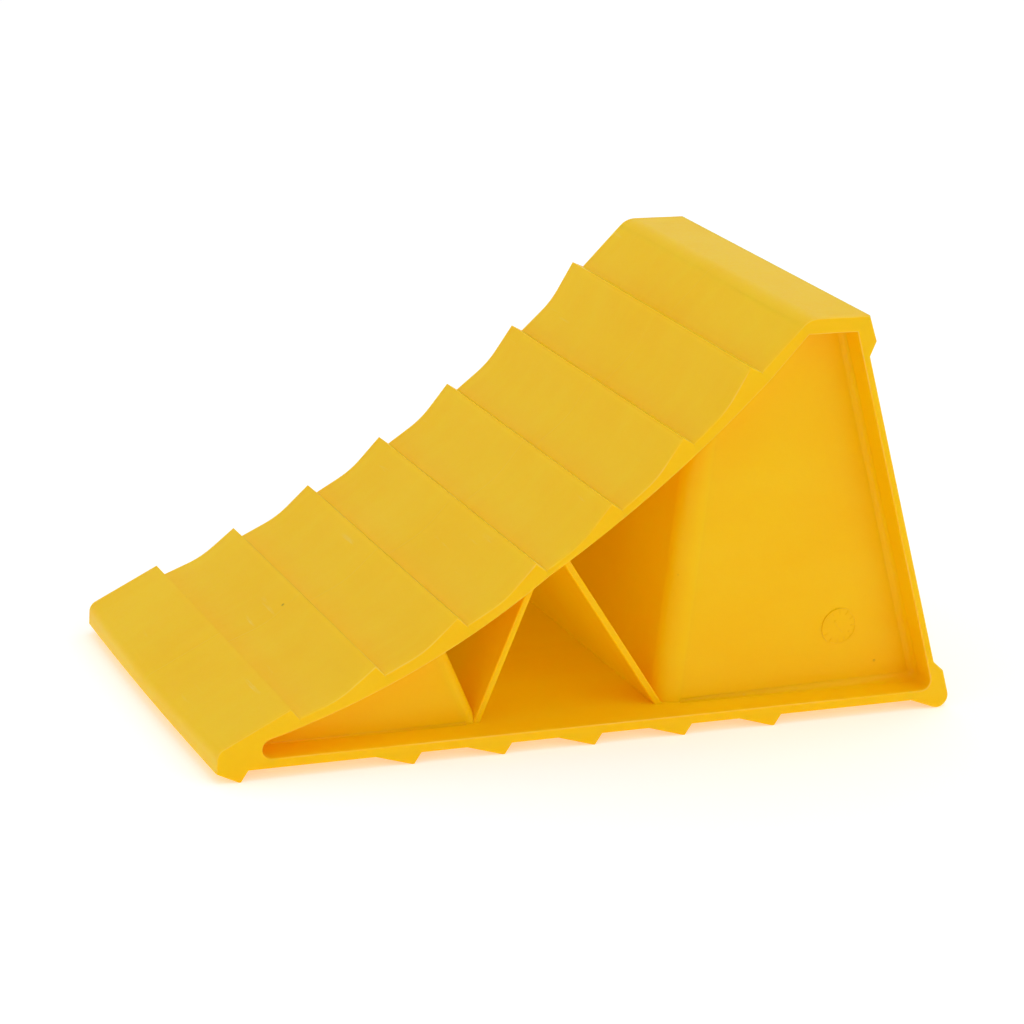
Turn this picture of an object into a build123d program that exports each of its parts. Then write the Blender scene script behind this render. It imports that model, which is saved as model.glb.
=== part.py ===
"""Moulded wheel chock: a curved, stepped ramp over a thin-walled body with webs and ribs.

Millimetres. +X runs from the toe to the heel, +Y across the wheel, +Z up.
The origin is on the ground under the centre of the chock.
Sketch positions are given from the foremost point of the nose and are moved to the origin by at().
"""

import os
from math import asin, atan, atan2, cos, hypot, pi, sin, sqrt, tan

from build123d import *

os.makedirs("parts", exist_ok=True)

# Overall size
length = 203.0
width = 108.0
height = 108.0

# Wall thicknesses
floor_thickness = 2.4
crest_thickness = 4.1
heel_wall_thickness = 2.0
web_thickness = 2.5
rib_thickness = 1.8

# Side pockets: the webs and the rib edges sit back from both side faces
web_recess = 9.0
toe_bend_radius = 0.5
heel_bend_radius = 3.2
bend_land = 0.5
far_corner_radius = 2.0
rib_edge_radius = 0.4
rim_radius = 0.5
on_joint_tolerance = 0.005

# Ground teeth
tooth_drop = 2.9
tooth_run = 10.3
tooth_back = 1.8
tooth_flat = 0.5
tooth_count = 5
first_tooth = 52.2
last_tooth_from_heel = 51.3
toe_tooth = 7.4

# Nose
nose_bow = 1.1
nose_bottom = 3.3
nose_top = 7.5
nose_radius = 3.0
pocket_nose_radius = 2.5

# Stepped ramp, set out on an arc through the first and last tread tips
tread_steps = 6
first_tip_x = 19.5
first_tip_z = 17.65
last_tip_from_heel = 66.7
last_tip_below_top = 11.7
ramp_hollow = 8.2
tread_height = 3.25
tread_face_run = 1.2
tread_land_share = 0.515
tread_break_radius = 25.0

# Treads and ground teeth open out steadily towards the heel: lag of the middle one from even spacing
pitch_lag = 0.9

# Ramp skin at five places; its underside is one curve up to the tread at the break and one behind it
toe_skin = 2.45
toe_bay_skin = 3.2
break_skin = 1.95
heel_bay_skin = 2.65
crest_skin = 3.5
toe_bay_share = 0.28
break_step = 3
heel_bay_share = 0.775
trim_depth = 5.0

# Crest
crest_front_from_heel = 51.3
crest_radius = 6.0
crest_inner_from_heel = 51.0
crest_back_from_heel = 34.2
lip_overhang_from_heel = 31.6
lip_point_below_top = 6.8
lip_bottom_below_top = 10.7
lip_bottom_from_heel = 33.1

# Heel
heel_step = 5.3
heel_step_z = 13.0
heel_shelf_z = 10.4
heel_bead_radius = 3.1
heel_shelf_radius = 0.8
heel_cove_radius = 1.2
heel_ramp_from_heel = 11.5
heel_inner_radius = 2.5
heel_joint_above_step = 4.0

# Webs and ribs: tops as shares of the ramp from first to last tread tip; ribs keep to the wall beside them
toe_return_foot_share = 0.3598
toe_return_aim = 0.300
front_rib_aim = 0.5266
front_rib_foot_inset = 1.75
heel_return_aim = 0.885
heel_return_lean = 0.0617
rear_rib_aim = 0.5560
rear_rib_foot_inset = 1.3
diagonal_beyond_return = 5.7
upright_top_share = 0.8478
upright_lean = -0.134

# Moulded date dial on the heel web
dial_radius = 5.0
dial_height = 0.2
dial_relief = 0.15
dial_from_heel = 29.8
dial_z = 22.0
dial_ticks = 12
dial_tick_length = 1.0
dial_tick_width = 0.35
dial_pointer_length = 4.2
dial_pointer_width = 0.6
dial_pointer_turn = -50.0
dial_rim = 0.35

# Levels and side planes
floor_top = tooth_drop + floor_thickness
crest_underside = height - crest_thickness
side = width / 2
web_face = side - web_recess
web_back = web_face - web_thickness
bay_depth = web_face + web_back

# Ramp arc: radius and centre from its chord and hollow
last_tip_x = length - last_tip_from_heel
last_tip_z = height - last_tip_below_top
ramp_chord = hypot(last_tip_x - first_tip_x, last_tip_z - first_tip_z)
ramp_radius = (ramp_chord**2 / 4 + ramp_hollow**2) / (2 * ramp_hollow)
chord_slope = atan2(last_tip_z - first_tip_z, last_tip_x - first_tip_x)
centre_height = ramp_radius - ramp_hollow
ramp_x = (first_tip_x + last_tip_x) / 2 - centre_height * sin(chord_slope)
ramp_z = (first_tip_z + last_tip_z) / 2 + centre_height * cos(chord_slope)
first_angle = atan2(first_tip_z - ramp_z, first_tip_x - ramp_x)
last_angle = atan2(last_tip_z - ramp_z, last_tip_x - ramp_x)
ramp_angle = last_angle - first_angle
valley_angle = tread_face_run / ramp_radius
root_radius = ramp_radius + tread_height
trim_radius = root_radius + trim_depth

# Heel wall: both faces lean the same way
wall_foot_x = length - heel_step
wall_top_x = length - lip_bottom_from_heel
wall_top_z = height - lip_bottom_below_top
wall_lean = (wall_top_x - wall_foot_x) / (wall_top_z - heel_step_z)
wall_width = heel_wall_thickness * hypot(1, wall_lean)
heel_joint_z = heel_step_z + heel_joint_above_step


def at(x, z):
    """A sketch point on the side profile, from the nose and the ground."""
    return (x - length / 2, z)


def on_ramp(radius, angle):
    return at(ramp_x + radius * cos(angle), ramp_z + radius * sin(angle))


def on_ceiling(share, skin):
    """A point on the ramp's underside, which lies a skin thickness under the arc of the tread roots."""
    return on_ramp(root_radius + skin, first_angle + share * ramp_angle)


def arc_through(start, middle, end):
    """Centre and radius of the circle through three points."""
    ax, az = middle[0] - start[0], middle[1] - start[1]
    bx, bz = end[0] - start[0], end[1] - start[1]
    twice_area = 2 * (ax * bz - az * bx)
    a_square = ax**2 + az**2
    b_square = bx**2 + bz**2
    x = (bz * a_square - az * b_square) / twice_area
    z = (ax * b_square - bx * a_square) / twice_area
    return start[0] + x, start[1] + z, hypot(x, z)


def lagging(share):
    """Share of the way from the first to the last of a row whose spacing opens out."""
    return 4 * share * (1 - share)


def wall_outside(z):
    return wall_foot_x + wall_lean * (z - heel_step_z)


def wall_inside(z):
    return wall_outside(z) - wall_width


def ramp_place(share):
    """How far a place on the ramp is from the nose and how high it is above the floor."""
    aim = on_ramp(root_radius, first_angle + share * ramp_angle)
    return aim[0] + length / 2, aim[1] - floor_top


def lean_to_ramp(foot, share):
    """Sideways run per unit of height of a line from the floor towards a place on the ramp."""
    reach, rise = ramp_place(share)
    return (reach - foot) / rise


def leaning(foot, lean, z):
    return foot + lean * (z - floor_top)


def spread(thickness, lean):
    """Horizontal width of a leaning plate."""
    return thickness * hypot(1, lean)


# Corners shared by the shell, the webs and the ribs
tip_angles = []
for step in range(tread_steps + 1):
    tip_share = step / tread_steps
    tip_angles.append(first_angle + tip_share * ramp_angle - lagging(tip_share) * pitch_lag / ramp_radius)
root_angles = [angle + valley_angle for angle in tip_angles]
crest_root = on_ramp(root_radius, root_angles[-1])
crest_under = on_ramp(root_radius + crest_skin, root_angles[-1])
ceiling_toe = on_ceiling(0, toe_skin)
ceiling_toe_bay = on_ceiling(toe_bay_share, toe_bay_skin)
ceiling_break = on_ramp(root_radius + break_skin, root_angles[break_step])
ceiling_heel_bay = on_ceiling(heel_bay_share, heel_bay_skin)

# Closed end of the toe pocket, tangent to the floor and to the ramp's underside
ceiling_x, ceiling_z, ceiling_radius = arc_through(ceiling_toe, ceiling_toe_bay, ceiling_break)
pocket_z = floor_top + pocket_nose_radius
pocket_reach = ceiling_radius + pocket_nose_radius
pocket_run = sqrt(pocket_reach**2 - (ceiling_z - pocket_z) ** 2)
pocket_x = ceiling_x + pocket_run + length / 2
pocket_angle = atan2(pocket_z - ceiling_z, pocket_run)
pocket_centre = at(pocket_x, pocket_z)
pocket_floor = at(pocket_x, floor_top)
pocket_end = at(pocket_x - pocket_nose_radius, pocket_z)
pocket_top = (
    ceiling_x + ceiling_radius * cos(pocket_angle),
    ceiling_z + ceiling_radius * sin(pocket_angle),
)

crest_front_x = length - crest_front_from_heel
crest_back_x = length - crest_back_from_heel
crest_inner_x = length - crest_inner_from_heel
crest_corner = at(crest_front_x, height)
crest_slope = atan2(crest_corner[1] - crest_root[1], crest_corner[0] - crest_root[0])
crest_tangent = crest_radius * tan(crest_slope / 2)
crest_round_start = at(
    crest_front_x - crest_tangent * cos(crest_slope),
    height - crest_tangent * sin(crest_slope),
)
crest_round_end = at(crest_front_x + crest_tangent, height)
crest_round_mid = at(
    crest_front_x + crest_tangent - crest_radius * sin(crest_slope / 2),
    height - crest_radius * (1 - cos(crest_slope / 2)),
)
crest_inner_front = at(crest_inner_x, crest_underside)
crest_inner_back = at(wall_inside(crest_underside), crest_underside)
lip_point_x = length - lip_overhang_from_heel
lip_point_z = height - lip_point_below_top
crest_back_top = at(crest_back_x, height)

# Rounded inner corner between the floor and the heel wall
heel_corner_x = wall_inside(floor_top)
heel_corner_angle = pi / 2 - atan(-wall_lean)
heel_inner_tangent = heel_inner_radius / tan(heel_corner_angle / 2)
heel_inner_reach = hypot(heel_inner_tangent, heel_inner_radius)
heel_inner_floor = at(heel_corner_x - heel_inner_tangent, floor_top)
heel_inner_wall_z = floor_top + heel_inner_tangent / hypot(1, wall_lean)
heel_inner_wall = at(wall_inside(heel_inner_wall_z), heel_inner_wall_z)
heel_inner_mid = at(
    heel_corner_x - heel_inner_tangent + heel_inner_radius * heel_inner_tangent / heel_inner_reach,
    floor_top + heel_inner_radius - heel_inner_radius**2 / heel_inner_reach,
)

# Webs and ribs
toe_return_foot = toe_return_foot_share * length
toe_return_lean = lean_to_ramp(toe_return_foot, toe_return_aim)
return_reach, return_rise = ramp_place(heel_return_aim)
heel_return_foot = return_reach - heel_return_lean * return_rise
front_rib_foot = toe_return_foot - front_rib_foot_inset
front_rib_lean = lean_to_ramp(front_rib_foot, front_rib_aim)
rear_rib_back = heel_return_foot + rear_rib_foot_inset
rear_rib_lean = lean_to_ramp(rear_rib_back, rear_rib_aim)
rear_rib_foot = rear_rib_back - spread(rib_thickness, rear_rib_lean)
diagonal_aim = heel_return_aim + diagonal_beyond_return / (ramp_radius * ramp_angle)
diagonal_lean = lean_to_ramp(heel_corner_x, diagonal_aim)
diagonal_foot = heel_corner_x - spread(rib_thickness, diagonal_lean)
upright_rise = upright_top_share * ramp_place(diagonal_aim)[1]
upright_foot = diagonal_foot + (diagonal_lean - upright_lean) * upright_rise
upright_width = spread(rib_thickness, upright_lean)


def cavity_outline():
    """The inside of the shell seen from the side, drawn once round."""
    Line(pocket_floor, heel_inner_floor)
    ThreePointArc(heel_inner_floor, heel_inner_mid, heel_inner_wall)
    Line(heel_inner_wall, crest_inner_back)
    Line(crest_inner_back, crest_inner_front)
    Line(crest_inner_front, crest_under)
    ThreePointArc(crest_under, ceiling_heel_bay, ceiling_break)
    ThreePointArc(ceiling_break, ceiling_toe_bay, pocket_top)
    ThreePointArc(pocket_top, pocket_end, pocket_floor)


def strip_outline(foot, lean, strip_width):
    """A leaning strip from the floor to the top; foot is its toe-side face."""
    Polyline(
        at(leaning(foot, lean, floor_top), floor_top),
        at(leaning(foot, lean, floor_top) + strip_width, floor_top),
        at(leaning(foot, lean, height) + strip_width, height),
        at(leaning(foot, lean, height), height),
        close=True,
    )


def tooth_outline(tip):
    Polyline(
        at(tip - tooth_run, tooth_drop),
        at(tip - tooth_flat, 0),
        at(tip, 0),
        at(tip + tooth_back, tooth_drop),
        close=True,
    )


def across(far_y):
    """A side-on sketch plane whose extrusions run from far_y towards the near side."""
    return Plane.XZ.offset(-far_y)


def side_edges(part, joints):
    """Edges round both side faces, leaving out those that lie on a joint with the next piece."""
    faces = part.faces().filter_by(Axis.Y).sort_by(Axis.Y)
    outline = faces[0].edges() + faces[-1].edges()
    return [edge for edge in outline if not any(on_joint(edge, *joint) for joint in joints)]


def on_joint(edge, start, end):
    """Whether an edge lies along the straight joint between two side-profile points."""
    middle = edge.center()
    span = hypot(end[0] - start[0], end[1] - start[1])
    along = (end[0] - start[0]) / span, (end[1] - start[1]) / span
    from_start = middle.X - start[0], middle.Z - start[1]
    off_line = abs(from_start[0] * along[1] - from_start[1] * along[0])
    distance = from_start[0] * along[0] + from_start[1] * along[1]
    within_ends = -on_joint_tolerance < distance < span + on_joint_tolerance
    return off_line < on_joint_tolerance and within_ends


def save(part, name):
    part.label = name
    export_step(part, f"parts/{name}.step")


# Nose block: solid tip of the ramp, the front tooth and the closed end of the toe pocket
toe_joint_low = at(pocket_x, tooth_drop)
nose_slope = (first_tip_z - nose_top) / first_tip_x
under_slope = nose_bottom / (toe_tooth - tooth_flat)
with BuildPart() as nose:
    with BuildSketch(Plane.XZ):
        with BuildLine():
            Polyline(
                toe_joint_low,
                at(toe_tooth + tooth_back, tooth_drop),
                at(toe_tooth, 0),
                at(toe_tooth - tooth_flat, 0),
                at(-nose_bow, nose_bottom + under_slope * nose_bow),
                at(-nose_bow, nose_top - nose_slope * nose_bow),
                at(first_tip_x, first_tip_z),
                on_ramp(root_radius, root_angles[0]),
                on_ramp(trim_radius, root_angles[0]),
                pocket_centre,
                close=True,
            )
        make_face()
        with BuildLine():
            cavity_outline()
        make_face(mode=Mode.SUBTRACT)
    extrude(amount=side, both=True)
    with BuildSketch(Plane.XY):
        with BuildLine():
            ThreePointArc(
                (nose_bow - length / 2, -side),
                (-length / 2, 0),
                (nose_bow - length / 2, side),
            )
            Polyline(
                (nose_bow - length / 2, side),
                (0, side),
                (0, -side),
                (nose_bow - length / 2, -side),
            )
        make_face()
    extrude(amount=height, mode=Mode.INTERSECT)
    nose_edge = nose.faces().sort_by(Axis.X)[0].edges().sort_by(Axis.Z)[-1]
    fillet(nose_edge, nose_radius)
    nose_joints = [
        (toe_joint_low, pocket_floor),
        (on_ramp(root_radius, root_angles[0]), on_ramp(trim_radius, root_angles[0])),
        (at(0, tooth_drop), toe_joint_low),
        (at(toe_tooth, 0), at(toe_tooth + tooth_back, tooth_drop)),
        (at(toe_tooth - tooth_flat, 0), at(toe_tooth, 0)),
        (at(0, nose_bottom), at(toe_tooth - tooth_flat, 0)),
    ]
    fillet(side_edges(nose, nose_joints), rim_radius)
save(nose.part, "toe_nose")

# Ramp plate, one piece per step: land, rising flank, tip and drop to the next root
for step in range(tread_steps):
    low_angle = root_angles[step]
    high_angle = root_angles[step + 1]
    tip_angle = tip_angles[step + 1]
    break_angle = tip_angles[step] + tread_land_share * (tip_angle - tip_angles[step])
    step_joints = [
        (on_ramp(root_radius, angle), on_ramp(trim_radius, angle)) for angle in (low_angle, high_angle)
    ]
    with BuildPart() as tread:
        with BuildSketch(Plane.XZ) as profile:
            with BuildLine():
                Polyline(
                    on_ramp(trim_radius, low_angle),
                    on_ramp(root_radius, low_angle),
                    on_ramp(root_radius, break_angle),
                    on_ramp(ramp_radius, tip_angle),
                    on_ramp(root_radius, high_angle),
                    on_ramp(trim_radius, high_angle),
                    close=True,
                )
            make_face()
            tread_break = profile.vertices().sort_by_distance(on_ramp(root_radius, break_angle))[0]
            fillet(tread_break, tread_break_radius)
            with BuildLine():
                cavity_outline()
            make_face(mode=Mode.SUBTRACT)
        extrude(amount=side, both=True)
        fillet(side_edges(tread, step_joints), rim_radius)
    save(tread.part, f"tread_{step + 1}")

# Crest: sloping face, flat top and the lip over the heel wall
with BuildPart() as crest_face:
    with BuildSketch(Plane.XZ):
        with BuildLine():
            Polyline(
                crest_under,
                crest_root,
                crest_round_start,
                crest_inner_front,
                close=True,
            )
        make_face()
    extrude(amount=side, both=True)
    face_joints = [(crest_root, crest_under), (crest_round_start, crest_inner_front)]
    fillet(side_edges(crest_face, face_joints), rim_radius)
save(crest_face.part, "crest_face")

with BuildPart() as crest_top:
    with BuildSketch(Plane.XZ):
        with BuildLine():
            ThreePointArc(crest_round_start, crest_round_mid, crest_round_end)
            Polyline(
                crest_round_end,
                crest_back_top,
                crest_inner_back,
                crest_inner_front,
                crest_round_start,
            )
        make_face()
    extrude(amount=side, both=True)
    top_joints = [(crest_round_start, crest_inner_front), (crest_inner_back, crest_back_top)]
    fillet(side_edges(crest_top, top_joints), rim_radius)
save(crest_top.part, "crest_top")

lip_bottom = at(wall_top_x, wall_top_z)
wall_inner_top = at(wall_inside(wall_top_z), wall_top_z)
with BuildPart() as lip:
    with BuildSketch(Plane.XZ):
        with BuildLine():
            Polyline(
                crest_inner_back,
                crest_back_top,
                at(lip_point_x, lip_point_z),
                lip_bottom,
                wall_inner_top,
                close=True,
            )
        make_face()
    extrude(amount=side, both=True)
    lip_joints = [(crest_inner_back, crest_back_top), (wall_inner_top, lip_bottom)]
    fillet(side_edges(lip, lip_joints), rim_radius)
save(lip.part, "heel_lip")

# Heel wall between the lip and the foot
wall_low = at(wall_outside(heel_joint_z), heel_joint_z)
wall_inner_low = at(wall_inside(heel_joint_z), heel_joint_z)
with BuildPart() as heel_wall:
    with BuildSketch(Plane.XZ):
        with BuildLine():
            Polyline(wall_inner_low, wall_low, lip_bottom, wall_inner_top, close=True)
        make_face()
    extrude(amount=side, both=True)
    wall_joints = [(wall_inner_low, wall_low), (wall_inner_top, lip_bottom)]
    fillet(side_edges(heel_wall, wall_joints), rim_radius)
save(heel_wall.part, "heel_wall")

# Heel foot: rounded bead on the ground, shelf above it and the root of the wall
bead_x = length - heel_bead_radius
bead_z = heel_bead_radius
foot_start_x = length - heel_ramp_from_heel
bead_distance = hypot(bead_x - foot_start_x, bead_z - tooth_drop)
bead_direction = atan2(bead_z - tooth_drop, bead_x - foot_start_x)
ramp_down = bead_direction - asin(heel_bead_radius / bead_distance)
bead_low = at(bead_x + heel_bead_radius * sin(ramp_down), bead_z - heel_bead_radius * cos(ramp_down))
wall_angle = atan(-wall_lean)
bead_diagonal = heel_bead_radius / sqrt(2)
bead_high_x = bead_x + heel_bead_radius * cos(wall_angle)
bead_high_z = bead_z + heel_bead_radius * sin(wall_angle)
shelf_x = bead_high_x + wall_lean * (heel_shelf_z - bead_high_z)
foot_joint_low = at(foot_start_x, tooth_drop)
foot_joint_high = at(foot_start_x, floor_top)
with BuildPart() as heel_foot:
    with BuildSketch(Plane.XZ):
        with BuildLine():
            Line(foot_joint_high, foot_joint_low)
            Line(foot_joint_low, bead_low)
            ThreePointArc(
                bead_low,
                at(bead_x + bead_diagonal, bead_z - bead_diagonal),
                at(bead_high_x, bead_high_z),
            )
            Polyline(
                at(bead_high_x, bead_high_z),
                at(shelf_x, heel_shelf_z),
                at(wall_foot_x, heel_step_z),
                wall_low,
                wall_inner_low,
                heel_inner_wall,
            )
            ThreePointArc(heel_inner_wall, heel_inner_mid, heel_inner_floor)
            Line(heel_inner_floor, foot_joint_high)
        make_face()
    extrude(amount=side, both=True)
    for x, z, radius in (
        (shelf_x, heel_shelf_z, heel_shelf_radius),
        (wall_foot_x, heel_step_z, heel_cove_radius),
    ):
        lengthwise = heel_foot.edges().filter_by(Axis.Y)
        fillet(lengthwise.sort_by_distance(Vector(x - length / 2, 0, z))[0], radius)
    foot_joints = [(foot_joint_low, foot_joint_high), (wall_inner_low, wall_low)]
    fillet(side_edges(heel_foot, foot_joints), rim_radius)
save(heel_foot.part, "heel_foot")

# Base plate
with BuildPart() as base_plate:
    with BuildSketch(Plane.XZ):
        with BuildLine():
            Polyline(toe_joint_low, foot_joint_low, foot_joint_high, pocket_floor, close=True)
        make_face()
    extrude(amount=side, both=True)
    base_joints = [
        (toe_joint_low, pocket_floor),
        (foot_joint_low, foot_joint_high),
        (toe_joint_low, foot_joint_low),
    ]
    fillet(side_edges(base_plate, base_joints), rim_radius)
save(base_plate.part, "base_plate")

# Ground teeth across the full width
teeth_span = length - last_tooth_from_heel - first_tooth
for number in range(tooth_count):
    tooth_share = number / (tooth_count - 1)
    tooth_tip = first_tooth + tooth_share * teeth_span - lagging(tooth_share) * pitch_lag
    with BuildPart() as tooth:
        with BuildSketch(Plane.XZ):
            with BuildLine():
                tooth_outline(tooth_tip)
            make_face()
        extrude(amount=side, both=True)
    save(tooth.part, f"ground_tooth_{number + 1}")

# Return walls: leaning plates across the inside, each bent round at the near side to meet its web
def bend_reach(lean, bend_radius):
    """How far a return wall's bend runs along its web."""
    return spread(web_thickness, lean) + bend_radius + bend_land


def return_wall(foot, lean, bend_radius, towards):
    """A wall whose face in the centre bay stands at foot; its web runs towards the toe (-1) or heel (1)."""
    back = foot + towards * spread(web_thickness, lean)
    bend_end = foot + towards * bend_reach(lean, bend_radius)
    outer_corner = at(foot, -web_face)
    inner_corner = at(back, -web_back)
    far_corner = at(back, web_face)
    with BuildPart() as wall:
        with BuildSketch(Plane.XY.offset(floor_top)) as plan:
            with BuildLine():
                Polyline(
                    outer_corner,
                    at(bend_end, -web_face),
                    at(bend_end, -web_back),
                    inner_corner,
                    far_corner,
                    at(foot, web_face),
                    close=True,
                )
            make_face()
            for corner, radius in (
                (outer_corner, web_thickness + bend_radius),
                (inner_corner, bend_radius),
                (far_corner, far_corner_radius),
            ):
                fillet(plan.vertices().sort_by_distance(corner)[0], radius)
        extrude(amount=height * hypot(1, lean), dir=(lean, 0, 1))
        with BuildSketch(across(web_face)):
            with BuildLine():
                cavity_outline()
            make_face()
        extrude(amount=2 * web_face, mode=Mode.INTERSECT)
    return wall.part


toe_return = return_wall(toe_return_foot, toe_return_lean, toe_bend_radius, -1)
save(toe_return, "toe_return_wall")
heel_return = return_wall(heel_return_foot, heel_return_lean, heel_bend_radius, 1)
save(heel_return, "heel_return_wall")


# Webs: the toe and heel bays are closed near the near side, the centre bay near the far side
def web(far_y, low_front, high_front, low_back, high_back):
    """A web from far_y towards the near side between two leaning edges, given at the floor and the top."""
    with BuildPart() as plate:
        with BuildSketch(across(far_y)):
            with BuildLine():
                cavity_outline()
            make_face()
            with BuildLine():
                Polyline(
                    at(low_front, floor_top),
                    at(low_back, floor_top),
                    at(high_back, height),
                    at(high_front, height),
                    close=True,
                )
            make_face(mode=Mode.INTERSECT)
        extrude(amount=web_thickness)
    return plate.part


toe_web_end = toe_return_foot - bend_reach(toe_return_lean, toe_bend_radius)
heel_web_start = heel_return_foot + bend_reach(heel_return_lean, heel_bend_radius)
toe_web = web(-web_back, 0, 0, toe_web_end, leaning(toe_web_end, toe_return_lean, height))
save(toe_web, "toe_web")
centre_web = web(
    web_face,
    toe_return_foot,
    leaning(toe_return_foot, toe_return_lean, height),
    heel_return_foot,
    leaning(heel_return_foot, heel_return_lean, height),
)
save(centre_web, "centre_web")
heel_web = web(
    -web_back,
    heel_web_start,
    leaning(heel_web_start, heel_return_lean, height),
    length,
    length,
)
save(heel_web, "heel_web")

# Ribs in the open centre bay; their feet run into the return walls beside them
for name, foot, lean, wall in (
    ("front_rib", front_rib_foot, front_rib_lean, toe_return),
    ("rear_rib", rear_rib_foot, rear_rib_lean, heel_return),
):
    with BuildPart() as rib:
        with BuildSketch(across(web_back)):
            with BuildLine():
                cavity_outline()
            make_face()
            with BuildLine():
                strip_outline(foot, lean, spread(rib_thickness, lean))
            make_face(mode=Mode.INTERSECT)
        extrude(amount=bay_depth)
        near_edges = rib.faces().sort_by(Axis.Y)[0].edges().sort_by(SortBy.LENGTH)
        fillet(near_edges[-2:], rib_edge_radius)
        add(wall, mode=Mode.SUBTRACT)
    save(rib.part, name)

# Ribs behind the heel web: a diagonal from the ramp to the heel corner and an upright under it
with BuildPart() as diagonal:
    with BuildSketch(across(web_face)):
        with BuildLine():
            cavity_outline()
        make_face()
        with BuildLine():
            strip_outline(diagonal_foot, diagonal_lean, heel_corner_x - diagonal_foot)
        make_face(mode=Mode.INTERSECT)
    extrude(amount=bay_depth)
    add(heel_return, mode=Mode.SUBTRACT)
save(diagonal.part, "heel_diagonal_rib")

with BuildPart() as upright:
    with BuildSketch(across(web_face)):
        with BuildLine():
            tops = []
            for foot in (upright_foot + upright_width, upright_foot):
                top_z = floor_top + (diagonal_foot - foot) / (upright_lean - diagonal_lean)
                tops.append(at(leaning(foot, upright_lean, top_z), top_z))
            Polyline(
                at(upright_foot, floor_top),
                at(upright_foot + upright_width, floor_top),
                *tops,
                close=True,
            )
        make_face()
    extrude(amount=bay_depth)
save(upright.part, "heel_upright_rib")

# Date dial moulded on the heel web: disc, rim, twelve ticks and a plain pointer
dial_plane = Plane(
    origin=(length / 2 - dial_from_heel, -web_face, dial_z),
    x_dir=(1, 0, 0),
    z_dir=(0, -1, 0),
)
with BuildPart() as dial:
    with BuildSketch(dial_plane):
        Circle(dial_radius)
    extrude(amount=dial_height)
    with BuildSketch(dial_plane.offset(dial_height)):
        Circle(dial_radius)
        Circle(dial_radius - dial_rim, mode=Mode.SUBTRACT)
        with PolarLocations(dial_radius - dial_rim - dial_tick_length / 2, dial_ticks):
            Rectangle(dial_tick_length + dial_rim, dial_tick_width)
        with Locations(Rotation(0, 0, dial_pointer_turn)):
            Rectangle(dial_pointer_length, dial_pointer_width)
    extrude(amount=dial_relief)
save(dial.part, "date_dial")
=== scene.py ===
import math

import bpy
from mathutils import Euler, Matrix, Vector


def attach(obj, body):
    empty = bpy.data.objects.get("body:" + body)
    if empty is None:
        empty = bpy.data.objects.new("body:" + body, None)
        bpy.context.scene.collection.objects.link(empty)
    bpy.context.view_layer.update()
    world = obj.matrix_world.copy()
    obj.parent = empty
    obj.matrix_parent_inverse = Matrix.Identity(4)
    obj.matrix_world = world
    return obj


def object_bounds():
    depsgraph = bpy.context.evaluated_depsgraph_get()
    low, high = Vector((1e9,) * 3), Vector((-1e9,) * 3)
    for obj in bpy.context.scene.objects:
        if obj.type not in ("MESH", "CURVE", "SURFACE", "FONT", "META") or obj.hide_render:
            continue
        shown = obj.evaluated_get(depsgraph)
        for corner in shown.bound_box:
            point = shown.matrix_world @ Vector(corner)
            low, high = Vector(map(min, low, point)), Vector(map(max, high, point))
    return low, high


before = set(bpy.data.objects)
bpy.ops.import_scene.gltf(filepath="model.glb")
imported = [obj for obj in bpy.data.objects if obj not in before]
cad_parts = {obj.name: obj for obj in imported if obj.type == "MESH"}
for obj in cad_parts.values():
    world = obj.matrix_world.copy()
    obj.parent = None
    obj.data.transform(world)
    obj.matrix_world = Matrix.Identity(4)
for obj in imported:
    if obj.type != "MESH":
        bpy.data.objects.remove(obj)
cad_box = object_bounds()
low, high = cad_box

MM = 0.001

# Plastic colours: body, deeper clouds, paler flow marks, scuffs (the same colour paints the highlight on the
# rims) and burnt specks
YELLOW = (0.97, 0.565, 0.002)
YELLOW_DEEP = (0.96, 0.535, 0.001)
YELLOW_PALE = (0.97, 0.60, 0.008)
SCUFF_AND_RIM_HIGHLIGHT = (0.95, 0.70, 0.22)
SPECK = (0.42, 0.20, 0.01)

# Fill light on the plates round the centre bay, set to match its colours; not a property of the
# plastic. It grows from nothing near the open side to its full strength further in.
GLOW_COLOUR = (0.30, 1.0, 0.0, 1.0)
GLOW_STRENGTH = 0.075
GLOW_START_Y = -52 * MM
GLOW_FULL_Y = -25 * MM
INNER_NODES = ("centre_web", "toe_return_wall", "heel_return_wall", "front_rib", "rear_rib", "base_plate")

# How far light sinks into the plastic, and the share of that in pieces too thin for it
SINK_DEPTH = 0.35 * MM
THIN_SHARE = 0.1

# Relief of the surface: waves, flow ridges, grain and the line left by the mould's halves
WAVE_RELIEF = 0.12 * MM
RIDGE_RELIEF = 0.02 * MM
GRAIN_RELIEF = 0.012 * MM
PARTING_RELIEF = 0.05 * MM
PARTING_HALF_WIDTH = 0.25 * MM

# Band of the rounded rim that carries the painted highlight, measured in from the side faces
RIM_INNER = 0.7 * MM
RIM_OUTER = 0.4 * MM


# ---------------------------------------------------------------- materials
def new_material(name):
    material = bpy.data.materials.new(name)
    material.use_nodes = True
    material.node_tree.nodes.clear()
    return material


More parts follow.
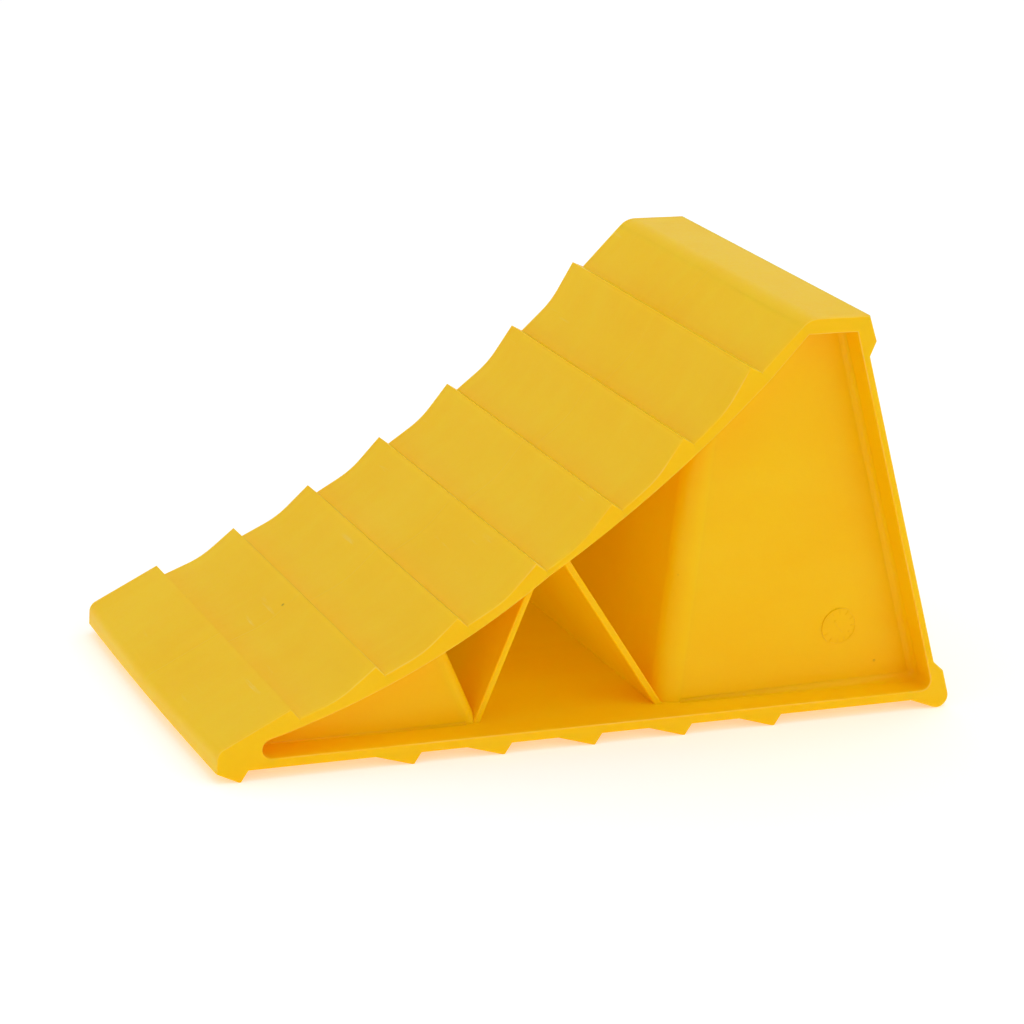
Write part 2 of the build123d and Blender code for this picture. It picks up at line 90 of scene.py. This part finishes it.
class Graph:
    """Small helper for building a material's node tree."""

    def __init__(self, tree):
        self.tree = tree

    def add(self, kind, **values):
        node = self.tree.nodes.new(kind)
        for key, value in values.items():
            setattr(node, key, value)
        return node

    def link(self, source, target):
        self.tree.links.new(source, target)

    def put(self, value, socket):
        if isinstance(value, (int, float)):
            socket.default_value = value
        elif isinstance(value, tuple):
            socket.default_value = (*value, 1.0)
        else:
            self.link(value, socket)

    def maths(self, operation, first, second):
        node = self.add("ShaderNodeMath", operation=operation)
        self.put(first, node.inputs[0])
        self.put(second, node.inputs[1])
        return node.outputs[0]

    def stretched(self, coordinates, scale, turn=(0.0, 0.0, 0.0)):
        mapping = self.add("ShaderNodeMapping")
        mapping.inputs["Rotation"].default_value = turn
        mapping.inputs["Scale"].default_value = scale
        self.link(coordinates, mapping.inputs["Vector"])
        return mapping.outputs["Vector"]

    def noise(self, coordinates, scale, detail=3.0, roughness=0.5):
        node = self.add("ShaderNodeTexNoise")
        self.link(coordinates, node.inputs["Vector"])
        node.inputs["Scale"].default_value = scale
        node.inputs["Detail"].default_value = detail
        node.inputs["Roughness"].default_value = roughness
        return node.outputs["Fac"]

    def dots(self, coordinates, scale, radius):
        """Small round spots, one in each cell."""
        node = self.add("ShaderNodeTexVoronoi")
        self.link(coordinates, node.inputs["Vector"])
        node.inputs["Scale"].default_value = scale
        return self.ramp(node.outputs["Distance"], 0.6 * radius, radius, 1.0, 0.0)

    def ramp(self, value, low, high, low_out=0.0, high_out=1.0):
        node = self.add("ShaderNodeMapRange", clamp=True)
        self.link(value, node.inputs["Value"])
        for name, number in (
            ("From Min", low),
            ("From Max", high),
            ("To Min", low_out),
            ("To Max", high_out),
        ):
            node.inputs[name].default_value = number
        return node.outputs["Result"]

    def mix(self, factor, first, second):
        node = self.add("ShaderNodeMix", data_type="RGBA")
        self.put(factor, node.inputs["Factor"])
        self.put(first, node.inputs["A"])
        self.put(second, node.inputs["B"])
        return node.outputs["Result"]

    def bump(self, height, distance, below=None):
        node = self.add("ShaderNodeBump")
        node.inputs["Strength"].default_value = 1.0
        node.inputs["Distance"].default_value = distance
        self.link(height, node.inputs["Height"])
        if below:
            self.link(below, node.inputs["Normal"])
        return node.outputs["Normal"]


def plastic(name, glow=0.0, depth=1.0):
    """Moulded yellow plastic; glow adds the bay's fill light and depth scales how far light sinks in."""
    material = new_material(name)
    g = Graph(material.node_tree)
    coordinates = g.add("ShaderNodeTexCoord").outputs["Object"]
    place = g.add("ShaderNodeSeparateXYZ")
    g.link(coordinates, place.inputs[0])
    geometry = g.add("ShaderNodeNewGeometry")
    facing = g.add("ShaderNodeSeparateXYZ")
    g.link(geometry.outputs["Normal"], facing.inputs[0])

    cloud = g.noise(coordinates, 28.0, 4.0, 0.55)
    flow = g.noise(g.stretched(coordinates, (0.3, 2.2, 1.0)), 70.0)
    streak = g.noise(g.stretched(coordinates, (3.0, 0.25, 3.0), (0.0, 0.0, 0.25)), 120.0, 4.0, 0.6)
    fine = g.noise(coordinates, 900.0, 2.0, 0.6)
    patches = g.noise(coordinates, 55.0, 2.0)

    colour = g.mix(g.ramp(cloud, 0.35, 0.7), YELLOW, YELLOW_DEEP)
    colour = g.mix(g.ramp(flow, 0.45, 0.8, 0.0, 0.5), colour, YELLOW_PALE)

    # Scuffs on the faces that meet the tyre, gathered in patches
    upward = g.ramp(facing.outputs["Z"], 0.3, 0.6)
    scuffs = g.maths("MULTIPLY", g.ramp(streak, 0.66, 0.74), g.ramp(patches, 0.52, 0.66))
    scuffs = g.maths("MULTIPLY", scuffs, g.maths("MULTIPLY", upward, 0.35))
    colour = g.mix(scuffs, colour, SCUFF_AND_RIM_HIGHLIGHT)

    # Painted highlight along the rounded rims of the side faces: paler than the flat faces, where light
    # catches the edge
    sideways = g.maths("ABSOLUTE", facing.outputs["Y"], 0.0)
    off_line = g.maths("ABSOLUTE", place.outputs["Y"], 0.0)
    rim = g.ramp(off_line, high[1] - RIM_INNER, high[1] - RIM_OUTER)
    painted_rim_highlight = g.maths("MULTIPLY", g.ramp(sideways, 0.25, 0.5), g.ramp(sideways, 0.75, 0.95, 1.0, 0.0))
    painted_rim_highlight = g.maths("MULTIPLY", g.maths("MULTIPLY", painted_rim_highlight, rim), g.ramp(patches, 0.4, 0.6, 0.1, 0.35))
    # Mix in the painted rim highlight
    colour = g.mix(painted_rim_highlight, colour, SCUFF_AND_RIM_HIGHLIGHT)

    # A few burnt specks in the moulding
    specks = g.maths("MULTIPLY", g.dots(coordinates, 95.0, 0.05), g.ramp(patches, 0.56, 0.6, 0.0, 0.75))
    colour = g.mix(specks, colour, SPECK)

    output = g.add("ShaderNodeOutputMaterial")
    shader = g.add("ShaderNodeBsdfPrincipled")
    g.link(colour, shader.inputs["Base Color"])
    rough = g.maths("ADD", g.ramp(cloud, 0.3, 0.7, 0.40, 0.48), g.ramp(fine, 0.3, 0.7, -0.03, 0.03))
    g.link(g.maths("ADD", rough, g.maths("MULTIPLY", scuffs, 0.3)), shader.inputs["Roughness"])
    shader.inputs["IOR"].default_value = 1.46
    shader.inputs["Specular IOR Level"].default_value = 0.17
    shader.inputs["Subsurface Weight"].default_value = 1.0
    shader.inputs["Subsurface Radius"].default_value = (1.0, 0.85, 0.3)
    shader.inputs["Subsurface Scale"].default_value = SINK_DEPTH * depth
    if glow:
        shader.inputs["Emission Color"].default_value = GLOW_COLOUR
        inside = g.ramp(place.outputs["Y"], GLOW_START_Y, GLOW_FULL_Y, 0.0, glow)
        g.link(inside, shader.inputs["Emission Strength"])

    waves = g.bump(g.noise(coordinates, 45.0, 2.0), WAVE_RELIEF)
    ridges = g.bump(streak, RIDGE_RELIEF, waves)
    # Faint parting line along the middle of the part
    parting = g.ramp(off_line, 0.0, PARTING_HALF_WIDTH, 1.0, 0.0)
    line = g.bump(g.maths("MULTIPLY", parting, upward), PARTING_RELIEF, ridges)
    g.link(g.bump(fine, GRAIN_RELIEF, line), shader.inputs["Normal"])
    g.link(shader.outputs["BSDF"], output.inputs["Surface"])
    return material


def dress(piece, material):
    """Give every material slot of a piece the same material."""
    if not piece.material_slots:
        piece.data.materials.append(material)
    for slot in piece.material_slots:
        slot.material = material


yellow = plastic("yellow_plastic")
inner = plastic("yellow_plastic_inner", glow=GLOW_STRENGTH)
thin = plastic("yellow_plastic_thin", depth=THIN_SHARE)
for name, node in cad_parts.items():
    if name in INNER_NODES:
        dress(node, inner)
    elif name == "date_dial" or name.startswith("ground_tooth"):
        dress(node, thin)
    else:
        dress(node, yellow)


# ---------------------------------------------------------------- coves
def near_outline(node):
    """Corner points round the near face of a web, in order, as (x, z) pairs, and the face's y."""
    points = [vertex.co for vertex in node.data.vertices]
    face_y = min(point.y for point in points)
    counts = {}
    for polygon in node.data.polygons:
        if all(points[i].y < face_y + 0.01 * MM for i in polygon.vertices):
            for pair in polygon.edge_keys:
                ends = [(round(points[i].x, 6), round(points[i].z, 6)) for i in pair]
                key = tuple(sorted(ends))
                counts[key] = counts.get(key, 0) + 1
    links = {}
    for (first, second), count in counts.items():
        if count == 1:
            links.setdefault(first, []).append(second)
            links.setdefault(second, []).append(first)
    loop = [min(links)]
    previous = None
    while len(loop) < len(links):
        current = loop[-1]
        following = [point for point in links[current] if point != previous]
        previous = current
        loop.append(following[0])
    area = sum(a[0] * b[1] - b[0] * a[1] for a, b in zip(loop, loop[1:] + loop[:1]))
    if area < 0:
        loop.reverse()
    return loop, face_y


def cut_open(loop, bend_side):
    """The outline without its long edge on the bend, whose end bend_side gives: -1 toe, 1 heel."""
    corner = max(range(len(loop)), key=lambda i: bend_side * loop[i][0])
    before = loop[corner - 1]
    after = loop[(corner + 1) % len(loop)]
    rise_before = abs(before[1] - loop[corner][1])
    rise_after = abs(after[1] - loop[corner][1])
    first = corner if rise_before > rise_after else corner + 1
    return loop[first:] + loop[:first]


# Steps round a cove's curve, how deep its corner sits in the solid, and how far its curve overruns both faces
COVE_STEPS = 8
EMBED = 0.3 * MM
OVERRUN = 1.01


def cove(name, node, bend_side, toe_radius, heel_radius):
    """Concave fillet between a web and the shell round it, widening evenly from toe to heel."""
    loop, face_y = near_outline(node)
    path = [Vector(point) for point in cut_open(loop, bend_side)]
    low_x = min(point.x for point in path)
    span = max(point.x for point in path) - low_x
    ring = COVE_STEPS + 2
    vertices = []
    for index, here in enumerate(path):
        arriving = here - path[index - 1] if index else path[1] - here
        leaving = path[index + 1] - here if index + 1 < len(path) else arriving
        side_in = Vector((-arriving.y, arriving.x)).normalized()
        side_out = Vector((-leaving.y, leaving.x)).normalized()
        inward = (side_in + side_out) / (1 + side_in.dot(side_out))
        radius = toe_radius + (heel_radius - toe_radius) * (here.x - low_x) / span
        for step in range(COVE_STEPS + 1):
            turn = 0.5 * math.pi * step / COVE_STEPS
            off_wall = radius * (1 - OVERRUN * math.cos(turn))
            off_web = radius * (1 - OVERRUN * math.sin(turn))
            vertices.append((here.x + inward.x * off_wall, face_y - off_web, here.y + inward.y * off_wall))
        vertices.append((here.x - inward.x * EMBED, face_y + EMBED, here.y - inward.y * EMBED))
    faces = []
    for index in range(len(path) - 1):
        for step in range(ring):
            a = index * ring + step
            b = index * ring + (step + 1) % ring
            faces.append((a, b, b + ring, a + ring))
    faces.append(tuple(range(ring - 1, -1, -1)))
    faces.append(tuple(range((len(path) - 1) * ring, len(path) * ring)))
    mesh = bpy.data.meshes.new(name)
    mesh.from_pydata(vertices, [], faces)
    mesh.validate()
    mesh.shade_smooth()
    piece = bpy.data.objects.new(name, mesh)
    bpy.context.scene.collection.objects.link(piece)
    dress(piece, thin)
    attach(piece, "root")


cove("heel_web_cove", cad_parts["heel_web"], -1, 1.0 * MM, 2.3 * MM)
cove("toe_web_cove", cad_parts["toe_web"], 1, 0.5 * MM, 0.8 * MM)


# ---------------------------------------------------------------- floor
# Half the floor's side in metres, and the light it gives so that it reads as a white backdrop
FLOOR_HALF = 6.0
FLOOR_LIGHT = 0.28


def floor_material():
    material = new_material("studio_floor")
    g = Graph(material.node_tree)
    output = g.add("ShaderNodeOutputMaterial")
    shader = g.add("ShaderNodeBsdfPrincipled")
    shader.inputs["Base Color"].default_value = (0.9, 0.9, 0.9, 1.0)
    shader.inputs["Roughness"].default_value = 0.9
    shader.inputs["Specular IOR Level"].default_value = 0.1
    shader.inputs["Emission Color"].default_value = (1.0, 1.0, 1.0, 1.0)
    shader.inputs["Emission Strength"].default_value = FLOOR_LIGHT
    g.link(shader.outputs["BSDF"], output.inputs["Surface"])
    return material


floor_mesh = bpy.data.meshes.new("floor")
corners = [(-1, -1), (1, -1), (1, 1), (-1, 1)]
floor_mesh.from_pydata([(x * FLOOR_HALF, y * FLOOR_HALF, low[2]) for x, y in corners], [], [(0, 1, 2, 3)])
floor_mesh.materials.append(floor_material())
floor = bpy.data.objects.new("floor", floor_mesh)
bpy.context.scene.collection.objects.link(floor)


# ---------------------------------------------------------------- light
def softbox(name, place, aim, size, power):
    data = bpy.data.lights.new(name, "AREA")
    data.shape = "DISK"
    data.size = size
    data.energy = power
    light = bpy.data.objects.new(name, data)
    light.location = place
    direction = Vector(aim) - Vector(place)
    light.rotation_euler = direction.to_track_quat("-Z", "Y").to_euler()
    bpy.context.scene.collection.objects.link(light)


centre = (Vector(low) + Vector(high)) / 2
softbox("right_softbox", (0.9, -1.4, 0.9), centre, 1.2, 2.4)
softbox("top_softbox", (0.0, -0.2, 1.8), centre, 1.2, 4.2)

world = bpy.data.worlds.new("studio")
world.use_nodes = True
background = world.node_tree.nodes["Background"]
background.inputs["Color"].default_value = (1.0, 1.0, 1.0, 1.0)
background.inputs["Strength"].default_value = 0.76
bpy.context.scene.world = world
bpy.context.scene.view_settings.view_transform = "Standard"
bpy.context.scene.cycles.max_bounces = 32
bpy.context.scene.cycles.diffuse_bounces = 24

# ---------------------------------------------------------------- camera
camera_data = bpy.data.cameras.new("camera")
camera_data.lens = 117.59
camera_data.sensor_width = 36.0
camera = bpy.data.objects.new("camera", camera_data)
camera.location = (-0.34343, -0.75609, 0.3143)
camera.rotation_euler = Euler((1.25538, -0.05879, -0.40398), "XYZ")
bpy.context.scene.collection.objects.link(camera)
bpy.context.scene.camera = camera
